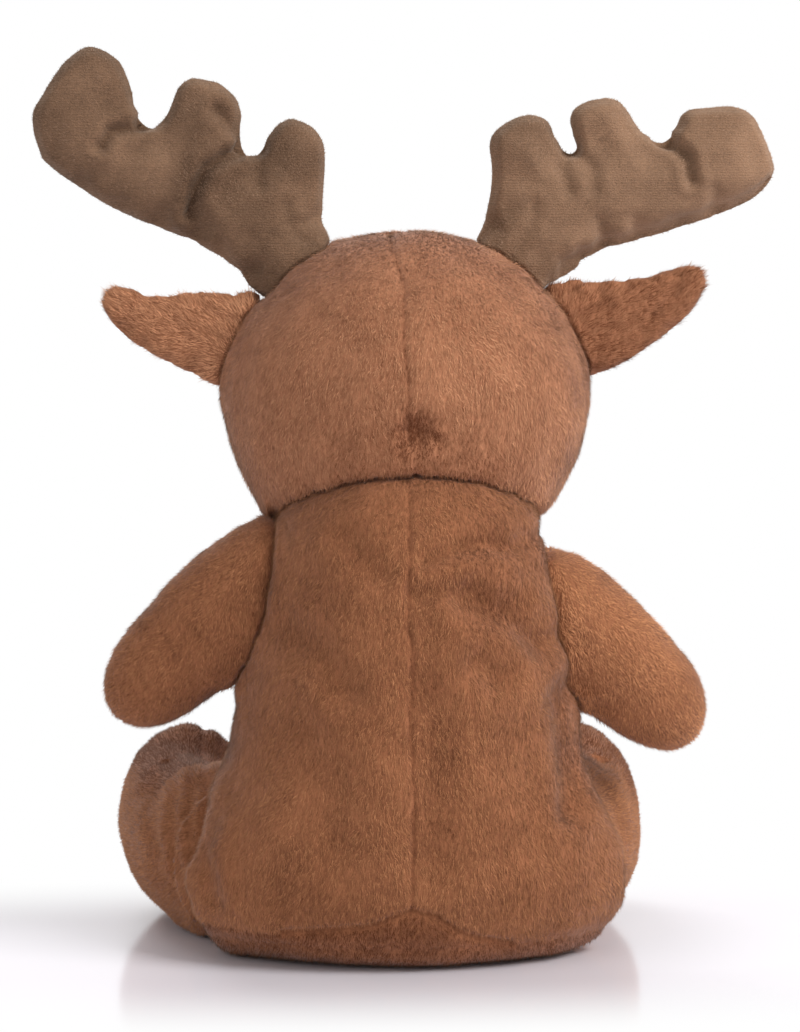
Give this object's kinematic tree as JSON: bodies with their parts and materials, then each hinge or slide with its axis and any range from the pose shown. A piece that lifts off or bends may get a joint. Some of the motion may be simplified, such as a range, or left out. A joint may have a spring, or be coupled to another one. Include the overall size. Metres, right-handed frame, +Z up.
{
  "type": "plush deer",
  "caption": "Seated plush deer with velour antlers, bending ears and sewn limbs that swing, closed by seams over stuffing, with a pellet bag in its seat.",
  "frame": {"origin": "middle of the flat seat face that the deer rests on", "axes": "+Z up towards the antlers, the deer faces -Y, and its left side is +X"},
  "size_m": [0.2748, 0.1693, 0.3308],
  "materials": {
    "body_plush": "matte",
    "head_plush": "matte",
    "seat_plush": "matte",
    "muzzle_plush": "matte",
    "ear_lining": "matte",
    "antler_velour": "satin",
    "sole_plush": "matte",
    "white_filling": "matte",
    "pellet_cloth": "matte",
    "black_plastic": "gloss",
    "washer_plastic": "matte",
    "dark_thread": "matte"
  },
  "bodies": {
    "torso": {"body_back_left": "body_plush", "body_back_right": "body_plush", "belly": "body_plush", "seat": "seat_plush", "body_stuffing": "white_filling", "pellet_bag": "pellet_cloth"},
    "head": {"head_back_left": "head_plush", "head_back_right": "head_plush", "face_left": "head_plush", "face_right": "head_plush", "head_stuffing": "white_filling", "muzzle": "muzzle_plush", "muzzle_stuffing": "white_filling", "eye_left": "black_plastic", "eye_left_washer": "washer_plastic", "eye_right": "black_plastic", "eye_right_washer": "washer_plastic", "nose": "black_plastic", "nose_washer": "washer_plastic", "mouth_stitch": "dark_thread"},
    "arm_left": {"arm_back_left": "body_plush", "arm_front_left": "body_plush", "arm_stuffing_left": "white_filling"},
    "leg_left": {"leg_outer_left": "body_plush", "leg_inner_left": "body_plush", "foot_sole_left": "sole_plush", "leg_stuffing_left": "white_filling"},
    "ear_left": {"ear_back_left": "head_plush", "ear_lining_left": "ear_lining"},
    "antler_left": {"antler_back_left": "antler_velour", "antler_front_left": "antler_velour", "antler_stuffing_left": "white_filling"},
    "arm_right": {"arm_back_right": "body_plush", "arm_front_right": "body_plush", "arm_stuffing_right": "white_filling"},
    "leg_right": {"leg_outer_right": "body_plush", "leg_inner_right": "body_plush", "foot_sole_right": "sole_plush", "leg_stuffing_right": "white_filling"},
    "ear_right": {"ear_back_right": "head_plush", "ear_lining_right": "ear_lining"},
    "antler_right": {"antler_back_right": "antler_velour", "antler_front_right": "antler_velour", "antler_stuffing_right": "white_filling"}
  },
  "joints": [
    {"name": "neck_nod", "type": "hinge", "parent": "torso", "child": "head", "pos_m": [0, 0, 0.138], "axis": [1, 0, 0], "range_deg": [-12, 15], "stiffness_Nm_per_rad": 1.5},
    {"name": "arm_left_swing", "type": "hinge", "parent": "torso", "child": "arm_left", "pos_m": [0.0505, 0, 0.1378], "axis": [-0.9863, 0, -0.165], "range_deg": [-35, 80], "stiffness_Nm_per_rad": 0.12},
    {"name": "leg_left_lift", "type": "hinge", "parent": "torso", "child": "leg_left", "pos_m": [0.06052, -0.022, 0.0318], "axis": [-0.9397, 0.342, 0], "range_deg": [-15, 25], "stiffness_Nm_per_rad": 0.6},
    {"name": "ear_left_bend", "type": "hinge", "parent": "head", "child": "ear_left", "pos_m": [0.06247, -0.022, 0.22284], "axis": [0.4248, 0, -0.9053], "range_deg": [-30, 30], "stiffness_Nm_per_rad": 0.02},
    {"name": "antler_left_bend", "type": "hinge", "parent": "head", "child": "antler_left", "pos_m": [0.04089, -0.024, 0.24893], "axis": [0.8227, 0, -0.5684], "range_deg": [-18, 18], "stiffness_Nm_per_rad": 0.2},
    {"name": "arm_right_swing", "type": "hinge", "parent": "torso", "child": "arm_right", "pos_m": [-0.0505, 0, 0.127], "axis": [-0.9863, 0, 0.165], "range_deg": [-35, 80], "stiffness_Nm_per_rad": 0.12},
    {"name": "leg_right_lift", "type": "hinge", "parent": "torso", "child": "leg_right", "pos_m": [-0.04998, -0.022, 0.0318], "axis": [-0.9511, -0.309, 0], "range_deg": [-15, 25], "stiffness_Nm_per_rad": 0.6},
    {"name": "ear_right_bend", "type": "hinge", "parent": "head", "child": "ear_right", "pos_m": [-0.06298, -0.022, 0.22635], "axis": [0.5262, 0, 0.8504], "range_deg": [-30, 30], "stiffness_Nm_per_rad": 0.02},
    {"name": "antler_right_bend", "type": "hinge", "parent": "head", "child": "antler_right", "pos_m": [-0.04218, -0.024, 0.25415], "axis": [0.8706, 0, 0.4921], "range_deg": [-18, 18], "stiffness_Nm_per_rad": 0.2}
  ]
}
